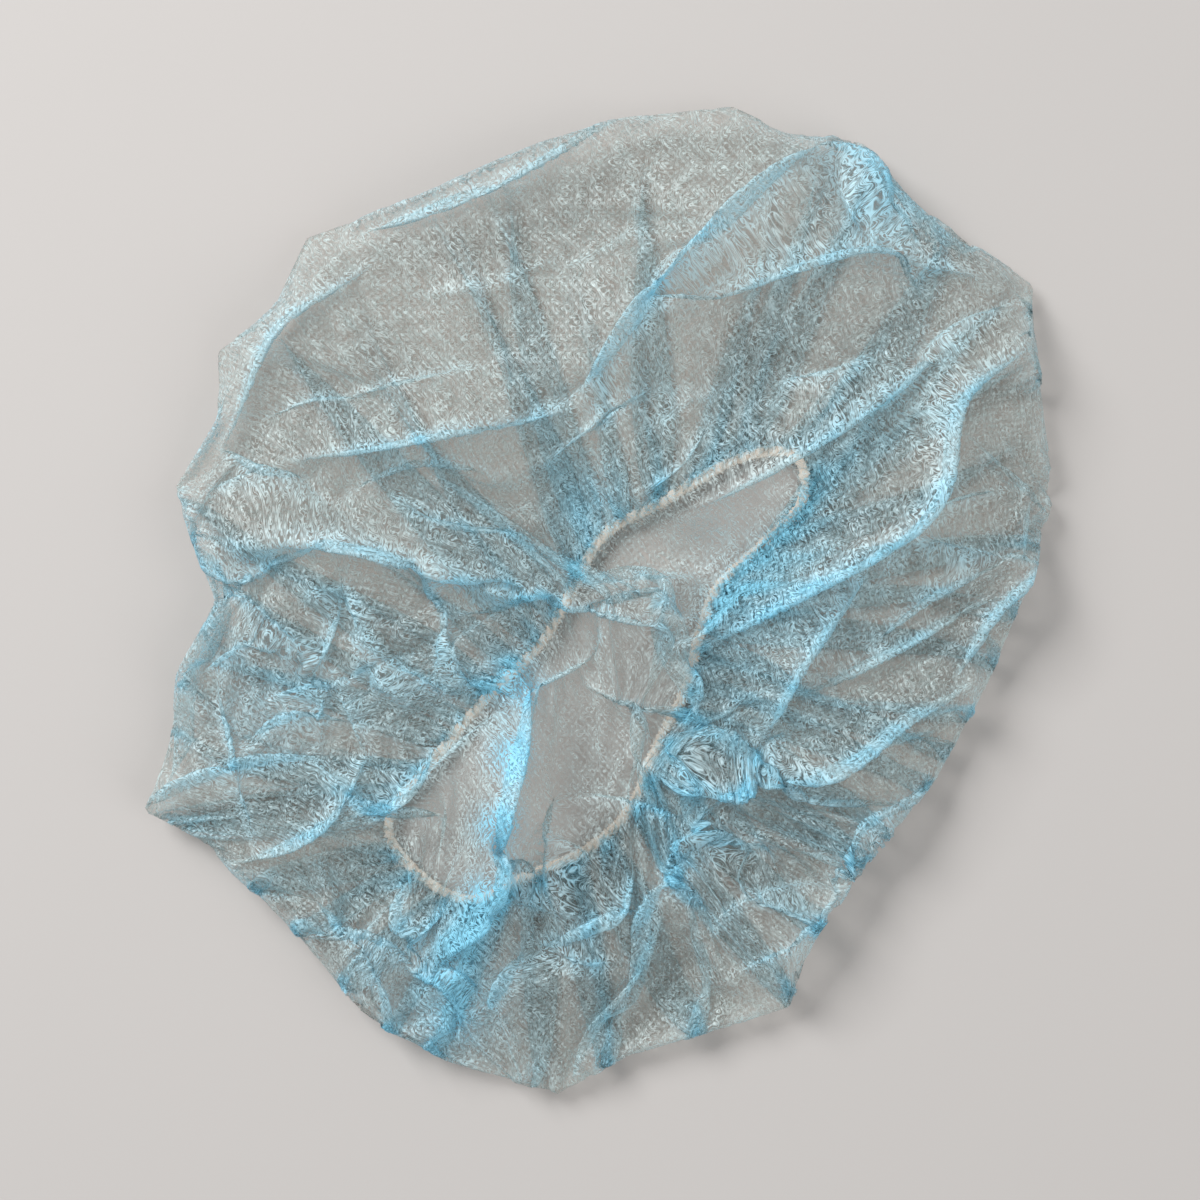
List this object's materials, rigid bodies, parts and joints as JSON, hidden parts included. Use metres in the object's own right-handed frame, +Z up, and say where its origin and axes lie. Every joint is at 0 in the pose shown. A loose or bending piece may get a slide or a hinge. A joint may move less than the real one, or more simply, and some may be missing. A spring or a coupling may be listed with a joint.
{
  "type": "disposable hairnet",
  "caption": "Disposable bouffant hairnet: a disc of sheer pale blue non-woven cloth gathered on a slack elastic, lying mouth down with its crown crumpled.",
  "frame": {"origin": "under the middle of the hairnet's outline, on the surface it lies on", "axes": "+Z up; +Y towards the wide end of the crown; +X across it, to the right as seen from above with +Y away"},
  "size_m": [0.2642, 0.2888, 0.0449],
  "materials": {
    "nonwoven_cloth": "sheer matt non-woven cloth",
    "elastic_yarn": "covered elastic, soft and fuzzy"
  },
  "bodies": {
    "root": {"cap_cloth": "nonwoven_cloth", "elastic_band": "elastic_yarn"}
  },
  "joints": []
}
